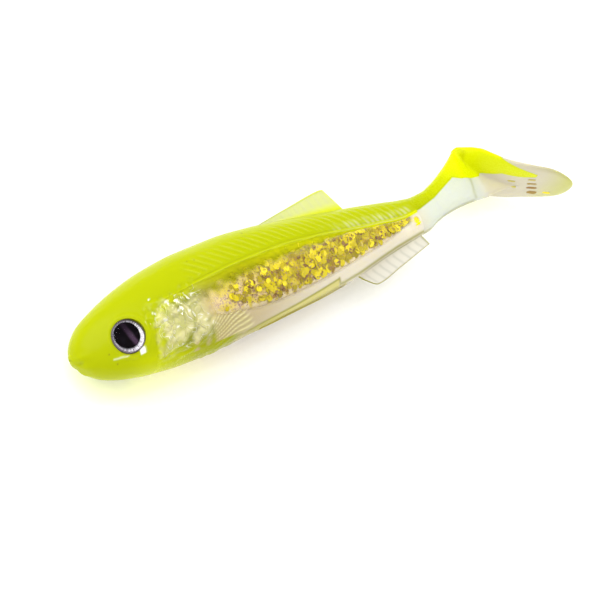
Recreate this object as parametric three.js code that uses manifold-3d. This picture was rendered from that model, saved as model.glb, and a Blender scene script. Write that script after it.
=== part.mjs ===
// Soft paddle-tail swimbait, lying on its right flank.
// A chartreuse back pour and a clear belly pour close round a flake-filled core; the soft
// body is divided where it flexes. Two fins, a stem and a paddle move on their own roots.
//
// Drawing axes, in millimetres: x runs from the nose (0) to the tail, y towards the back,
// z towards the left flank. The lure is mirrored about z = 0.
import * as THREE from 'three';
import { mergeVertices } from 'three/addons/utils/BufferGeometryUtils.js';
import Module from 'manifold-3d';

const wasm = await Module();
wasm.setup();

// ---------------------------------------------------------------- driving dimensions

const GAP = 0.3; // between pieces that touch on the real lure
const FAR = 40; // reach of a cutting block above, below and beside the lure
const AHEAD = -10; // a cutting block's end in front of the nose
const BEHIND = 130; // and behind the paddle

// Body and stem outline: x, back height, belly height, half width.
const BODY_STATIONS = [
  [0, 0.4, -1.6, 0.9],
  [0.7, 1.6, -3.0, 2.0],
  [2, 3.0, -4.5, 3.1],
  [4.2, 4.5, -6.1, 4.2],
  [8, 6.1, -7.6, 5.3],
  [13, 7.6, -8.7, 6.3],
  [20, 8.9, -9.4, 7.0],
  [27, 9.5, -9.6, 7.3],
  [35, 9.5, -9.6, 7.2],
  [44, 8.6, -9.5, 6.8],
  [53, 7.1, -9.2, 6.0],
  [60, 5.9, -8.7, 5.2],
  [67, 4.6, -7.7, 4.3],
  [73, 3.2, -6.9, 3.5],
  [79, 1.9, -6.4, 2.8],
  [82, 1.5, -6.2, 2.4],
  [85, 1.6, -5.3, 2.0],
  [88, 2.3, -4.7, 1.9],
  [93, 4.3, -4.4, 1.8],
  [97.6, 6.6, -4.7, 1.5],
  [99.6, 2.6, -5.1, 1.3],
  [103, -0.8, -5.6, 1.1],
  [109, -4.4, -5.6, 0.5],
];
const NOSE_END = 5; // the sections listed before this length are lofted as they are
const BODY_STEP = 3; // length of one loft step behind it
const BODY_POINTS = 28; // points round one section
const BODY_SQUARENESS = 2.2; // 2 is an ellipse
const WIDEST_LEVEL = 0.5; // where the section is widest, from belly (0) to back (1)

// Paddle: x and y of its middle line, half width, half thickness.
const PADDLE_STATIONS = [
  [98.3, 7.1, 0.9, 0.5],
  [98.5, 5.8, 3.2, 0.9],
  [98.9, 4.7, 4.9, 1.0],
  [99.5, 3.1, 6.6, 1.1],
  [101.5, 0.3, 7.4, 1.1],
  [104.5, -2.1, 7.5, 1.1],
  [109.6, -4.9, 7.1, 1.0],
  [112.5, -6.2, 6.5, 1.0],
  [114.5, -7.3, 5.8, 1.0],
  [116.5, -8.5, 4.8, 0.9],
  [118.2, -9.5, 3.6, 0.8],
  [119.3, -10.0, 2.4, 0.6],
  [119.9, -10.2, 1.2, 0.4],
];
const PADDLE_POINTS = 20;
const PADDLE_STEPS = 26;

// Line between the back pour and the belly pour, from the throat to the back of the stem.
const SEAM = [
  [12.4, -14], [12.8, -6.8], [13.6, -3.5], [15.6, 0.2], [19, 1.3], [25, 1.6], [35, 2.0],
  [45, 1.8], [53, 1.0], [61, -0.2], [69, -1.2], [76, -2.0], [81, -1.6], [86, -0.6],
  [91, 1.1], [92.8, 1.7], [94.6, 0.6], [97.4, -0.1], [100.3, -0.4], [100.5, -14],
];
// Heel pour on the paddle, seen from the back: x and z.
const HEEL_OUTLINE = [
  [90, -9], [99.3, -9], [99.5, 0.6], [101, 2], [103, 3.6], [107, 3.6], [109.8, 4],
  [109.8, 4.8], [106.8, 5.8], [103.5, 6.8], [100.6, 7.6], [100.4, 9], [90, 9],
];

// Core: x, belly height, half width.
const CORE_STATIONS = [
  [25.5, -3.4, 2.2],
  [27.5, -5.8, 3.9],
  [31, -7.2, 4.9],
  [38, -6.8, 5.0],
  [46, -6.2, 4.6],
  [54, -5.5, 4.0],
  [62, -4.9, 3.3],
  [70, -4.3, 2.4],
  [76, -3.8, 1.6],
  [79, -3.4, 0.9],
];
const CORE_SQUARENESS = 2.6;
const CORE_STEPS = 18;
const CORE_POINTS = 20;
const CORE_BELLY_DEPTH = 2.2; // height of the core's round underside
const CORE_HEADROOM = 10; // the trough runs this far up, past the seam

// Where the soft body flexes: start and end of each zone.
const BODY_FLEX = [36, 46];
const STEM_FLEX = [80, 86];
const WEB_FLEX = [92, 96];

// Hook slot in the belly: side outline of the cut and its half width.
const SLOT_OUTLINE = [[35.6, -12], [36, -9.4], [38, -8.6], [57.5, -7.3], [58.2, -12]];
const SLOT_HALF_WIDTH = 1.3;

// Fins: side outlines, and half thickness.
const DORSAL_FIN = [[46.5, 8.8], [64.2, 10.1], [65.6, 8.2], [66.8, 4.4], [55, 5]];
const ANAL_FIN = [[61.3, -8.6], [65.0, -11.6], [80.6, -8.4], [79.8, -6.2], [70, -6.5]];
const FIN_HALF_THICKNESS = 0.3;
const FIN_GAP = 0.4; // between a fin's root and the body, so that the fin can fold

// Eyes: centre of the left one, forward tilt, and the stack from the socket floor outwards.
const EYE = { x: 9.2, y: -1.8, floor: 4.2, tilt: THREE.MathUtils.degToRad(5) };
const SOCKET_RADIUS = 3.6;
const SOCKET_REACH = 10; // drilled from the floor out through the cheek
const EYE_RADIUS = 3.3;
const PUPIL_RADIUS = 2.4;
const FOIL_THICKNESS = 0.35;
const PUPIL_THICKNESS = 0.25;
const EYE_CLEARANCE = 0.1; // between the layers of an eye
const DOME_RIM = 0.45; // height of the dome's straight rim
const DOME_RISE = 0.75; // height of its crown over the rim
const EYE_SEGMENTS = 28;

const MATERIALS = {
  chartreuse: { color: 0xcfe00a, roughness: 0.3, metalness: 0 },
  clear: { color: 0xe6dfcb, roughness: 0.25, metalness: 0 },
  flake: { color: 0xb89a2e, roughness: 0.4, metalness: 0.3 },
  fin: { color: 0xdfe6a8, roughness: 0.25, metalness: 0 },
  foil: { color: 0xc9c4cf, roughness: 0.25, metalness: 0.9 },
  pupil: { color: 0x140f1c, roughness: 0.3, metalness: 0.1 },
  lens: { color: 0xf2f4f6, roughness: 0.05, metalness: 0 },
};

// ---------------------------------------------------------------- tables and outlines

/** Value of one column of a station table at x, on a smooth curve without overshoot. */
function tableAt(table, x, column) {
  const last = table.length - 1;
  const at = THREE.MathUtils.clamp(x, table[0][0], table[last][0]);
  let i = 0;
  while (i < last - 1 && table[i + 1][0] < at) i += 1;
  const slope = (k) => (table[k + 1][column] - table[k][column]) / (table[k + 1][0] - table[k][0]);
  const tangent = (k) => {
    if (k === 0) return slope(0);
    if (k === last) return slope(last - 1);
    const before = slope(k - 1);
    const after = slope(k);
    return before * after > 0 ? (2 * before * after) / (before + after) : 0;
  };
  const width = table[i + 1][0] - table[i][0];
  const t = (at - table[i][0]) / width;
  const ease = t * t * (3 - 2 * t);
  const startPull = t * (1 - t) * (1 - t) * width * tangent(i);
  const endPull = t * t * (t - 1) * width * tangent(i + 1);
  return table[i][column] * (1 - ease) + table[i + 1][column] * ease + startPull + endPull;
}

/** Rounded-square unit section: point k of count, as [across, up]. */
function sectionPoint(k, count, squareness) {
  const angle = (2 * Math.PI * k) / count;
  const bend = (value) => Math.sign(value) * Math.abs(value) ** (2 / squareness);
  return [bend(Math.cos(angle)), bend(Math.sin(angle))];
}

/** The outline moved sideways by a distance, to the right of its direction of travel. */
function movedOutline(points, distance) {
  return points.map((point, i) => {
    const before = points[Math.max(i - 1, 0)];
    const after = points[Math.min(i + 1, points.length - 1)];
    const length = Math.hypot(after[0] - before[0], after[1] - before[1]);
    const right = [(after[1] - before[1]) / length, (before[0] - after[0]) / length];
    return [point[0] + right[0] * distance, point[1] + right[1] * distance];
  });
}

// ---------------------------------------------------------------- solids

/** A closed skin over rings of points, with a flat fan on each end. */
function loft(rings) {
  const count = rings[0].length;
  const positions = rings.flat(2);
  const index = [];
  for (let r = 0; r < rings.length - 1; r += 1) {
    for (let k = 0; k < count; k += 1) {
      const a = r * count + k;
      const b = r * count + ((k + 1) % count);
      index.push(a, b, a + count, b, b + count, a + count);
    }
  }
  for (const end of [0, rings.length - 1]) {
    const ring = rings[end];
    const middle = positions.length / 3;
    for (const axis of [0, 1, 2]) {
      positions.push(ring.reduce((sum, point) => sum + point[axis], 0) / count);
    }
    for (let k = 0; k < count; k += 1) {
      const a = end * count + k;
      const b = end * count + ((k + 1) % count);
      if (end === 0) index.push(middle, b, a);
      else index.push(middle, a, b);
    }
  }
  const geometry = new THREE.BufferGeometry();
  geometry.setAttribute('position', new THREE.Float32BufferAttribute(positions, 3));
  geometry.setIndex(index);
  return geometry;
}

function toSolid(geometry) {
  const bare = geometry.clone();
  bare.deleteAttribute('normal');
  bare.deleteAttribute('uv');
  const merged = mergeVertices(bare, 1e-4);
  return new wasm.Manifold(
    new wasm.Mesh({
      numProp: 3,
      vertProperties: new Float32Array(merged.attributes.position.array),
      triVerts: new Uint32Array(merged.index.array),
    }),
  );
}

function toGeometry(solid) {
  const mesh = solid.getMesh();
  const geometry = new THREE.BufferGeometry();
  geometry.setAttribute('position', new THREE.Float32BufferAttribute(mesh.vertProperties, 3));
  geometry.setIndex(Array.from(mesh.triVerts));
  geometry.computeVertexNormals();
  return geometry;
}

/** A block from the side outline, reaching the same distance either side of the mirror plane. */
function sidePrism(points, halfWidth) {
  const shape = new THREE.Shape(points.map(([x, y]) => new THREE.Vector2(x, y)));
  const geometry = new THREE.ExtrudeGeometry(shape, { depth: 2 * halfWidth, bevelEnabled: false });
  geometry.translate(0, 0, -halfWidth);
  return toSolid(geometry);
}

/** A block from an outline in x and z, reaching through the whole height. */
function planPrism(points) {
  const shape = new THREE.Shape(points.map(([x, z]) => new THREE.Vector2(x, z)));
  const geometry = new THREE.ExtrudeGeometry(shape, { depth: 2 * FAR, bevelEnabled: false });
  geometry.rotateX(Math.PI / 2);
  geometry.translate(0, FAR, 0);
  return toSolid(geometry);
}

/** Everything between two lengths along the lure. */
function slice(start, end) {
  const block = new THREE.BoxGeometry(end - start, 2 * FAR, 2 * FAR);
  block.translate((start + end) / 2, 0, 0);
  return toSolid(block);
}

function bodySolid() {
  const end = BODY_STATIONS[BODY_STATIONS.length - 1][0];
  const steps = Math.round(end / BODY_STEP);
  const even = Array.from({ length: steps + 1 }, (_, i) => (end * i) / steps);
  const ends = BODY_STATIONS.map(([x]) => x).filter((x) => x < NOSE_END || x > WEB_FLEX[1]);
  const between = even.filter((x) => x > NOSE_END && x < WEB_FLEX[1]);
  const stops = [...ends, ...between].sort((a, b) => a - b);
  const rings = stops.map((x) => {
    const top = tableAt(BODY_STATIONS, x, 1);
    const bottom = tableAt(BODY_STATIONS, x, 2);
    const halfWidth = tableAt(BODY_STATIONS, x, 3);
    const level = bottom + (top - bottom) * WIDEST_LEVEL;
    return Array.from({ length: BODY_POINTS }, (_, k) => {
      const [across, up] = sectionPoint(k, BODY_POINTS, BODY_SQUARENESS);
      const reach = up > 0 ? top - level : level - bottom;
      return [x, level + up * reach, -across * halfWidth];
    });
  });
  return toSolid(loft(rings));
}

function paddleSolid() {
  const middle = new THREE.CatmullRomCurve3(
    PADDLE_STATIONS.map(([x, y]) => new THREE.Vector3(x, y, 0)),
    false,
    'centripetal',
  );
  const size = new THREE.CatmullRomCurve3(
    PADDLE_STATIONS.map(([, , width, thickness]) => new THREE.Vector3(width, thickness, 0)),
    false,
    'centripetal',
  );
  const rings = [];
  for (let i = 0; i <= PADDLE_STEPS; i += 1) {
    const at = middle.getPoint(i / PADDLE_STEPS);
    const along = middle.getTangent(i / PADDLE_STEPS);
    const { x: halfWidth, y: halfThickness } = size.getPoint(i / PADDLE_STEPS);
    rings.push(
      Array.from({ length: PADDLE_POINTS }, (_, k) => {
        const [across, up] = sectionPoint(k, PADDLE_POINTS, BODY_SQUARENESS);
        const off = up * halfThickness;
        return [at.x - along.y * off, at.y + along.x * off, -across * halfWidth];
      }),
    );
  }
  return toSolid(loft(rings));
}

/** The core's trough: round below, straight walls above, grown on every side by a margin. */
function troughSolid(margin) {
  const first = CORE_STATIONS[0][0];
  const last = CORE_STATIONS[CORE_STATIONS.length - 1][0];
  const rings = [];
  for (let i = 0; i <= CORE_STEPS; i += 1) {
    const tableX = THREE.MathUtils.lerp(first, last, i / CORE_STEPS);
    const x = THREE.MathUtils.lerp(first - margin, last + margin, i / CORE_STEPS);
    const level = tableAt(CORE_STATIONS, tableX, 1) - margin + CORE_BELLY_DEPTH;
    const halfWidth = tableAt(CORE_STATIONS, tableX, 2) + margin;
    rings.push(
      Array.from({ length: CORE_POINTS }, (_, k) => {
        const [across, up] = sectionPoint(k, CORE_POINTS, CORE_SQUARENESS);
        const height = up > 0 ? CORE_HEADROOM : CORE_BELLY_DEPTH;
        return [x, level + up * height, -across * halfWidth];
      }),
    );
  }
  return toSolid(loft(rings));
}

/** Everything above the seam, grown past it by a distance. */
function seamBlock(distance) {
  const line = movedOutline(SEAM, distance);
  const [, seamStart] = SEAM[0];
  const [, seamEnd] = SEAM[SEAM.length - 1];
  return sidePrism(
    [...line, [BEHIND, seamEnd], [BEHIND, FAR], [AHEAD, FAR], [AHEAD, seamStart]],
    FAR,
  );
}

// ---------------------------------------------------------------- the lure

const swimbait = new THREE.Group();
swimbait.name = 'swimbait';

function addMesh(name, geometry, material, parent = swimbait) {
  const mesh = new THREE.Mesh(geometry, new THREE.MeshStandardMaterial(MATERIALS[material]));
  mesh.name = name;
  parent.add(mesh);
  return mesh;
}

const addSolid = (name, solid, material) => addMesh(name, toGeometry(solid), material);

/** Round socket for one eye; side is 1 on the left and -1 on the right. */
function socketSolid(side) {
  const drill = new THREE.CylinderGeometry(SOCKET_RADIUS, SOCKET_RADIUS, SOCKET_REACH, EYE_SEGMENTS);
  drill.rotateX(Math.PI / 2);
  drill.translate(0, 0, SOCKET_REACH / 2);
  drill.rotateY(side > 0 ? -EYE.tilt : Math.PI + EYE.tilt);
  drill.translate(EYE.x, EYE.y, side * EYE.floor);
  return toSolid(drill);
}

const body = bodySolid();
const above = seamBlock(0);
const aboveWithGap = seamBlock(GAP);
const trough = troughSolid(GAP);
const slot = sidePrism(SLOT_OUTLINE, SLOT_HALF_WIDTH);
const backPour = body.intersect(above);
const bellyPour = body.subtract(aboveWithGap).subtract(trough).subtract(slot);
const core = troughSolid(0).intersect(body.subtract(aboveWithGap));

const ZONES = [
  ['front', AHEAD, BODY_FLEX[0]],
  ['flex', BODY_FLEX[0] + GAP, BODY_FLEX[1]],
  ['rear', BODY_FLEX[1] + GAP, STEM_FLEX[0]],
];
const sockets = socketSolid(1).add(socketSolid(-1));
for (const [zone, start, end] of ZONES) {
  const zoneBlock = slice(start, end);
  addSolid(`back_${zone}`, backPour.intersect(zoneBlock).subtract(sockets), 'chartreuse');
  addSolid(`belly_${zone}`, bellyPour.intersect(zoneBlock), 'clear');
  addSolid(`core_${zone}`, core.intersect(zoneBlock), 'flake');
}

const stemBlock = slice(STEM_FLEX[1] + GAP, WEB_FLEX[0]);
addSolid('stem_root', body.intersect(slice(STEM_FLEX[0] + GAP, STEM_FLEX[1])), 'clear');
addSolid('stem_back', body.intersect(above).intersect(stemBlock), 'chartreuse');
addSolid('stem_belly', body.subtract(aboveWithGap).intersect(stemBlock), 'clear');
addSolid('paddle_web', body.intersect(slice(WEB_FLEX[0] + GAP, WEB_FLEX[1])), 'chartreuse');

const paddle = body.intersect(slice(WEB_FLEX[1] + GAP, BEHIND)).add(paddleSolid());
const heelBlock = planPrism(HEEL_OUTLINE).intersect(above);
const heelBlockWithGap = planPrism(movedOutline(HEEL_OUTLINE, GAP)).intersect(aboveWithGap);
addSolid('paddle_heel', paddle.intersect(heelBlock), 'chartreuse');
addSolid('paddle_blade', paddle.subtract(heelBlockWithGap), 'clear');

for (const [name, outline, away] of [['dorsal_fin', DORSAL_FIN, 1], ['anal_fin', ANAL_FIN, -1]]) {
  const clearance = body.translate([0, away * FIN_GAP, 0]);
  addSolid(name, sidePrism(outline, FIN_HALF_THICKNESS).subtract(clearance), 'fin');
}

const turned = (points) =>
  new THREE.LatheGeometry(points.map(([r, h]) => new THREE.Vector2(r, h)), EYE_SEGMENTS).rotateX(Math.PI / 2);

/** Outline of the clear dome: recessed over the pupil, straight rim, round crown. */
function domeOutline(seat) {
  const rim = seat + DOME_RIM;
  const recess = seat + PUPIL_THICKNESS + EYE_CLEARANCE;
  const points = [[0, recess], [PUPIL_RADIUS + EYE_CLEARANCE, recess], [PUPIL_RADIUS + EYE_CLEARANCE, seat]];
  points.push([EYE_RADIUS, seat]);
  const arcSteps = 5;
  for (let i = 0; i <= arcSteps; i += 1) {
    const angle = (Math.PI / 2) * (i / arcSteps);
    points.push([i === arcSteps ? 0 : EYE_RADIUS * Math.cos(angle), rim + DOME_RISE * Math.sin(angle)]);
  }
  return points;
}

for (const [side, sign] of [['left', 1], ['right', -1]]) {
  const eye = new THREE.Group();
  eye.position.set(EYE.x, EYE.y, sign * EYE.floor);
  eye.rotation.y = sign > 0 ? -EYE.tilt : Math.PI + EYE.tilt;
  const foilTop = GAP + FOIL_THICKNESS;
  const seat = foilTop + EYE_CLEARANCE;
  const disc = (radius, low, high) => turned([[0, low], [radius, low], [radius, high], [0, high]]);
  addMesh(`${side}_eye_foil`, disc(EYE_RADIUS, GAP, foilTop), 'foil', eye);
  addMesh(`${side}_eye_pupil`, disc(PUPIL_RADIUS, seat, seat + PUPIL_THICKNESS), 'pupil', eye);
  addMesh(`${side}_eye_dome`, turned(domeOutline(seat)), 'lens', eye);
  swimbait.add(eye);
}

// The row's origin is the middle of the lure's box, on the surface it lies on.
const box = new THREE.Box3().setFromObject(swimbait, true);
const centre = box.getCenter(new THREE.Vector3());
swimbait.position.set(-centre.x, -centre.y, -box.min.z);
swimbait.updateMatrixWorld(true);

export default swimbait;
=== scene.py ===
"""Looks of a soft paddle-tail swimbait lying on its right flank.

Shapes are made in drawing axes, in millimetres: x from the nose to the tail, y towards the
back and z towards the left flank, with z = 0 on the mirror plane. finish_mesh() moves a
finished piece into the CAD's frame, in metres.
"""
import math

import bmesh
import bpy
import numpy as np
from mathutils import Matrix, Vector
from mathutils.bvhtree import BVHTree


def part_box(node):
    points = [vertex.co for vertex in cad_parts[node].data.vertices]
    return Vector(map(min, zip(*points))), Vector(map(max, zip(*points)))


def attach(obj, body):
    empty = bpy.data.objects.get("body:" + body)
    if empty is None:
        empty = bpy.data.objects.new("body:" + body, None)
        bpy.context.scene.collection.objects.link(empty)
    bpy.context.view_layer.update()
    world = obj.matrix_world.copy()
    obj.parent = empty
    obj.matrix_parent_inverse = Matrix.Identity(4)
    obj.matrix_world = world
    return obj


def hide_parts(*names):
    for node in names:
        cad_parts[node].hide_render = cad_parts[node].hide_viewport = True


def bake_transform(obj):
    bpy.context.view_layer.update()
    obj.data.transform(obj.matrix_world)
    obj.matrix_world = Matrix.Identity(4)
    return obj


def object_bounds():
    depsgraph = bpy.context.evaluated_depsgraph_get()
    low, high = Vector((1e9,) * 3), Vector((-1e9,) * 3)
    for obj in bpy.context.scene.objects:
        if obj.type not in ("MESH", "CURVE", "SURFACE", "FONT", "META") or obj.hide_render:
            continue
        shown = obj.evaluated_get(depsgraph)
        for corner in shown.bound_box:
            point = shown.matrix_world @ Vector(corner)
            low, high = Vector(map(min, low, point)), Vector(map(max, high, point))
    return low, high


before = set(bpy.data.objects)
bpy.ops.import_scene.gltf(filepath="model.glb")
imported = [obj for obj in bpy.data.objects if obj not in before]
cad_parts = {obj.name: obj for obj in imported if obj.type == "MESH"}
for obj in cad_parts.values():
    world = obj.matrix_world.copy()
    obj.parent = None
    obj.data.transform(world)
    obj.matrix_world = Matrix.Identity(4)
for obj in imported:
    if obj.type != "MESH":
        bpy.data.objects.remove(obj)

cad_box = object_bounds()

# ---- driving dimensions

MM = 0.001
BACK_TOP = 9.5  # highest level of the body over the drawing's x axis

# Body and stem: x, back level, belly level, half width.
BODY = [
    [0, 0.4, -1.6, 0.9], [0.7, 1.6, -3.0, 2.0], [2, 3.0, -4.5, 3.1], [4.2, 4.5, -6.1, 4.2],
    [8, 6.1, -7.6, 5.3], [13, 7.6, -8.7, 6.3], [20, 8.9, -9.4, 7.0], [27, BACK_TOP, -9.6, 7.3],
    [35, BACK_TOP, -9.6, 7.2], [44, 8.6, -9.5, 6.8], [53, 7.1, -9.2, 6.0], [60, 5.9, -8.7, 5.2],
    [67, 4.6, -7.7, 4.3], [73, 3.2, -6.9, 3.5], [79, 1.9, -6.4, 2.8], [82, 1.5, -6.2, 2.4],
    [85, 1.6, -5.3, 2.0], [88, 2.3, -4.7, 1.9], [93, 4.3, -4.4, 1.85], [95.6, 5.6, -4.5, 1.75],
    [97.6, 6.6, -4.7, 1.1], [99.6, 2.6, -4.9, 0.9], [103, -0.8, -4.8, 0.8], [109, -4.4, -5.6, 0.5],
]
SQUARENESS = 2.2  # of every section; 2 is an ellipse
NOSE_DOME = 0.35  # how far the nose bulges in front of the first section

# Paddle: x and y of its middle line, half width, half thickness.
PADDLE = [
    [98.3, 7.1, 0.9, 0.5], [98.5, 5.8, 3.2, 0.9], [98.9, 4.7, 4.9, 1.0], [99.5, 3.1, 6.6, 1.1],
    [101.5, 0.3, 7.4, 1.1], [104.5, -2.1, 7.5, 1.1], [109.6, -4.9, 7.1, 1.0],
    [112.5, -6.2, 6.5, 1.0], [114.5, -7.3, 5.8, 1.0], [116.5, -8.5, 4.8, 0.9],
    [118.2, -9.5, 3.6, 0.8], [119.3, -10.0, 2.4, 0.6], [119.9, -10.2, 1.2, 0.4],
]

# Line between the back pour and the belly pour; from the gill to the stem it is the
# lateral line.
SEAM = [
    [12.4, -14], [12.8, -6.8], [13.6, -3.5], [15.6, 0.2], [19, 1.3], [25, 1.6], [35, 2.0],
    [45, 1.8], [53, 1.0], [61, -0.2], [69, -1.2], [76, -2.0], [81, -1.6], [86, -0.6],
    [91, 1.1], [92.8, 1.7], [94.6, 0.6], [97.4, -0.1], [100.3, -0.4], [100.5, -14],
]
# Chartreuse heel on the paddle, seen from the back: x and z.
HEEL = [
    [90, -9], [99.3, -9], [99.5, 0.6], [101, 2], [103, 3.6], [107, 3.6], [109.8, 4],
    [109.8, 4.8], [106.8, 5.8], [103.5, 6.8], [100.6, 7.6], [100.4, 9], [90, 9],
]

# Lower edge of the flakes on either flank, and of the flake core.
FLAKE_EDGE = [
    [24.5, -3.9], [28, -5.0], [31, -5.4], [36, -6.2], [42, -6.5], [50, -6.3], [56, -5.9],
    [62, -5.3], [68, -4.7], [76, -3.2], [78.5, -2.8],
]
# How far the chartreuse fades out below the lateral line.
FADE_DEPTH = [[24, 3.6], [31, 3.4], [36, 3.0], [46, 2.7], [51, 2.2], [56, 1.5], [61, 0.8], [80, 0.5]]
LONE_FLAKE = (78.7, -3.6)  # gold flake behind the others
CORE_DEPTH = 0.3  # of the core's side under the skin
CORE_START, CORE_END = 20.0, 79

# Where the soft body bends, from the joints' own zones.
STEM_FLEX = (80, 86)
STEM_END = 98
TAIL_END = 130  # past the paddle's tip

# Hook slot in the belly: x and y of its outline, and half its width.
SLOT = [[35.6, -12], [36, -9.4], [38, -8.6], [57.5, -7.3], [58.2, -12]]
SLOT_HALF_WIDTH = 1.3

# Eyes: centre of the left one, socket floor, forward tilt and the layers over the floor.
EYE_X, EYE_Y, EYE_FLOOR = 9.2, -1.8, 4.2
EYE_TILT = math.radians(5)
SOCKET_RADIUS, SOCKET_REACH = 3.1, 9
EYE_RADIUS = 3.02
PUPIL_RADIUS = 2.35
PUPIL_OFFSET = (-0.18, 0.23)  # it sits towards the nose and the back
FOIL_BASE, FOIL_TOP = 0.3, 0.85
PUPIL_SEAT, PUPIL_TOP = 0.95, 1.2
LENS_SEAT, DOME_RIM, DOME_TOP = 1.32, 1.4, 2.0

# Long flakes in the paddle's front face: x, z, length, width and tone, the last one gold.
PADDLE_FLAKES = [
    [106.3, 1.6, 1.9, 0.5, 0.9], [107.2, 0.2, 1.7, 0.4, 1.0], [109.9, 2.9, 2.0, 0.5, 0.7],
    [110.8, 1.3, 2.5, 0.5, 0.25], [111.7, -0.4, 2.7, 0.7, 0.0], [112.9, -2.4, 2.4, 1.2, 0.15],
    [115.6, -1.6, 1.8, 0.6, 1.0],
]

# Fins: root line and outer line, as share along the fin, x and y.
DORSAL_ROOT = [[0, 46.3, 7.9], [0.5, 57, 5.9], [1, 66.9, 3.9]]
DORSAL_TIP = [[0, 46.9, 8.35], [0.5, 55.4, 9.3], [0.93, 63.6, 10.05], [1, 64.6, 9.9]]
ANAL_ROOT = [[0, 61.3, -8.2], [0.5, 70.3, -7.0], [1, 79.8, -6.1]]
ANAL_TIP = [[0, 62.4, -9.4], [0.12, 65.0, -11.45], [0.5, 71.5, -10.3], [1, 80.6, -8.5]]
DORSAL_RAYS, ANAL_RAYS = 11, 9
FIN_HALF, FIN_BORDER = 0.10, 0.14  # half thickness of a web, and what its border adds
DORSAL_FOLD_Y, ANAL_FOLD_Y = 6.0, -7.2

FAR = 40  # beyond every edge of the lure
SEED = 20
RING_POINTS = 208  # round the body's skin
CORE_POINTS, CORE_RINGS = 140, 210
TAIL_POINTS = 72
PADDLE_POINTS, PADDLE_RINGS = 96, 90
TAIL_VOXEL = 0.2
RELIEF_LIMIT = 0.45  # no relief stands out further than this
PLATELET_HALF = 0.025  # half a platelet's thickness
PLATELET_TILT = 0.12  # spread of their lean, in radians

# Colours, as linear light.
CHARTREUSE = (0.41, 0.46, 0.001)
CHARTREUSE_DEEP = (0.15, 0.16, 0.001)
CHARTREUSE_PALE = (0.46, 0.50, 0.03)
# Brightest chartreuse: the dorsal fin's foot, and the painted light towards the tail and heel, along the
# throat and under the seam.
CHARTREUSE_BRIGHT = (0.68, 0.73, 0.002)
FROST = (0.52, 0.54, 0.18)
CLEAR = (0.76, 0.70, 0.56)
MILK = (0.76, 0.66, 0.47)
WARM = (0.44, 0.33, 0.13)
CHEEK = (0.70, 0.66, 0.33)
CHEEK_SHADE = (0.40, 0.37, 0.07)
STEM = (0.70, 0.73, 0.66)
BLADE = (0.65, 0.60, 0.45)
TOE = (0.60, 0.60, 0.19)
RAY = (0.84, 0.80, 0.42)
OLIVE = (0.27, 0.26, 0.01)
STRIP = (0.64, 0.58, 0.14)
GOLD = (1.0, 0.86, 0.03)
GOLD_DARK = (0.56, 0.46, 0.008)
HAZE_BEIGE = (0.70, 0.56, 0.30)
HAZE_YELLOW = (0.66, 0.55, 0.10)
HAZE_OLIVE = (0.58, 0.48, 0.012)
HAZE_BROWN = (0.33, 0.21, 0.025)
HAZE_MAUVE = (0.36, 0.24, 0.27)
HAZE_EDGE = (0.72, 0.62, 0.40)
HAZE_GREEN = (0.60, 0.57, 0.006)
MAUVE = (0.36, 0.22, 0.25)
PURPLE_BROWN = (0.20, 0.10, 0.06)
FIN_MEMBRANE = (0.70, 0.73, 0.30)
PAINTED_GLINT_AND_FROST_WHITE = (0.97, 0.97, 0.93)
# Light that falls through the lure onto the floor.
LIGHT_WARM = (0.95, 0.80, 0.44)
LIGHT_PALE = (0.98, 0.97, 0.90)
LIGHT_GREEN = (0.94, 0.97, 0.08)

# Platelets: name, count, size, x range, power of their spread (under 1 puts more at the lower
# edge), depth under the skin, corners, clumping, and light tone, dark tone, metallic, roughness.
PLATELETS = [
    ("gold_flakes", 300, 0.74, (28, 78.5), 1.0, (0.14, 0.22), 7, 0.97, (GOLD, GOLD_DARK, 0.15, 0.35)),
    ("deep_gold_flakes", 560, 0.62, (31, 78), 0.9, (0.2, 0.29), 7, 0.6,
     ((0.62, 0.53, 0.012), (0.30, 0.23, 0.01), 0.1, 0.45)),
    ("dark_flakes", 1300, 0.12, (24, 57), 0.6, (0.12, 0.26), 4, 0.45, (MAUVE, PURPLE_BROWN, 0.1, 0.5)),
    ("brown_flakes", 260, 0.4, (34, 78.5), 0.8, (0.13, 0.2), 5, 0.98,
     ((0.36, 0.22, 0.07), (0.18, 0.09, 0.03), 0.1, 0.5)),
]

# Floor, lights and camera, in metres, watts and degrees.
FLOOR_HALF = 1.5
ROOM_LIGHT = 1.15
ROOM_IN_GLOSS = 0.08  # the white room is dimmed in reflections
LIGHT_AIM = Vector((-0.02, 0, 0))
SOFTBOXES = [("key", (-0.22, 0.36, 0.52), 0.6, 2.6), ("spark", (0.16, 0.07, 0.55), 0.05, 0.25)]
AZIMUTH, ELEVATION, ROLL = (math.radians(turn) for turn in (-76.24, 55.13, 48.58))
CAMERA_DISTANCE = 0.34515
CAMERA_AIM = (47.4, -7.82)  # x and y in the drawing
FOCAL_LENGTH, SENSOR_WIDTH = 111.31, 36.0  # millimetres, as on a real camera

# ---- drawing to the CAD's frame

back_low, back_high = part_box("back_front")
ORIGIN = Vector((
    back_low.x,
    back_high.y - BACK_TOP * MM,
    (cad_box[0].z + cad_box[1].z) / 2,
))
TO_CAD = Matrix.Translation(ORIGIN) @ Matrix.Scale(MM, 4)


def cad_point(x, y, z=0.0):
    return TO_CAD @ Vector((x, y, z))


# ---- tables and ramps


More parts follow.
